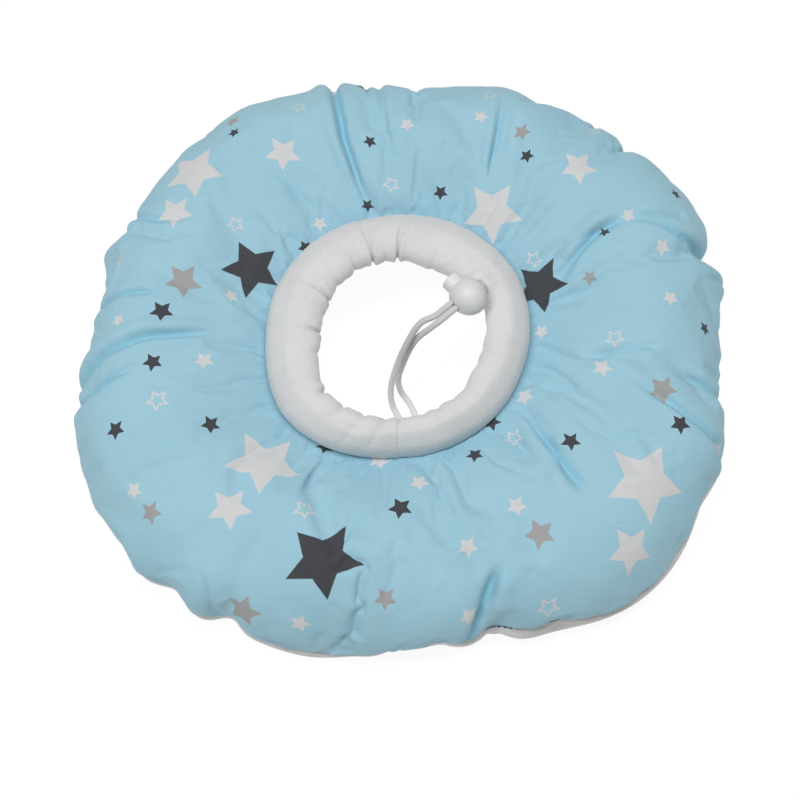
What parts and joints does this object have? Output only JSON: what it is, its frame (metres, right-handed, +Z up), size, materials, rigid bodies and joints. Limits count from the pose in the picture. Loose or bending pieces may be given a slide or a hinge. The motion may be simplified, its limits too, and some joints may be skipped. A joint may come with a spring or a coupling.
{
  "type": "padded pet collar",
  "caption": "Soft padded ring collar for a pet, round with a rounded-square outline, with a gathered fleece neck band, a drawstring and a sprung ball cord lock.",
  "frame": {"origin": "middle of the underside, on the surface that the collar lies on", "axes": "+Z up through the neck opening, +X along the longer side of the ring, -Y towards the front, where the band's end seam is"},
  "size_m": [0.3225, 0.3014, 0.07],
  "materials": {
    "printed_cotton": "matte",
    "white_cotton": "matte",
    "fibre_filling": "matte",
    "fleece": "matte",
    "thread": "matte",
    "cord": "matte",
    "lock_plastic": "gloss",
    "spring_steel": "satin"
  },
  "bodies": {
    "collar": {"top_cover": "printed_cotton", "back_cover": "white_cotton", "filling": "fibre_filling", "neck_band": "fleece", "outer_seam_stitching": "thread", "neck_seam_stitching": "thread", "band_end_stitching": "thread", "buttonhole_stitching": "thread", "drawstring": "cord", "drawstring_tail_left": "cord", "drawstring_tail_right": "cord", "knot_left": "cord", "knot_right": "cord"},
    "cord_lock": {"cord_lock_body": "lock_plastic", "cord_lock_spring": "spring_steel"},
    "lock_plunger": {"cord_lock_plunger": "lock_plastic"}
  },
  "joints": [
    {"name": "cord_lock_slide", "type": "slide", "parent": "collar", "child": "cord_lock", "axis": [-0.7214, -0.687, 0.0872], "range_m": [0, 0.008]},
    {"name": "plunger_press", "type": "slide", "parent": "cord_lock", "child": "lock_plunger", "axis": [0.6896, -0.7242, 0], "range_m": [0, 0.002], "stiffness_N_per_m": 500, "springref_m": -0.003, "deforming": ["cord_lock_spring"]}
  ]
}
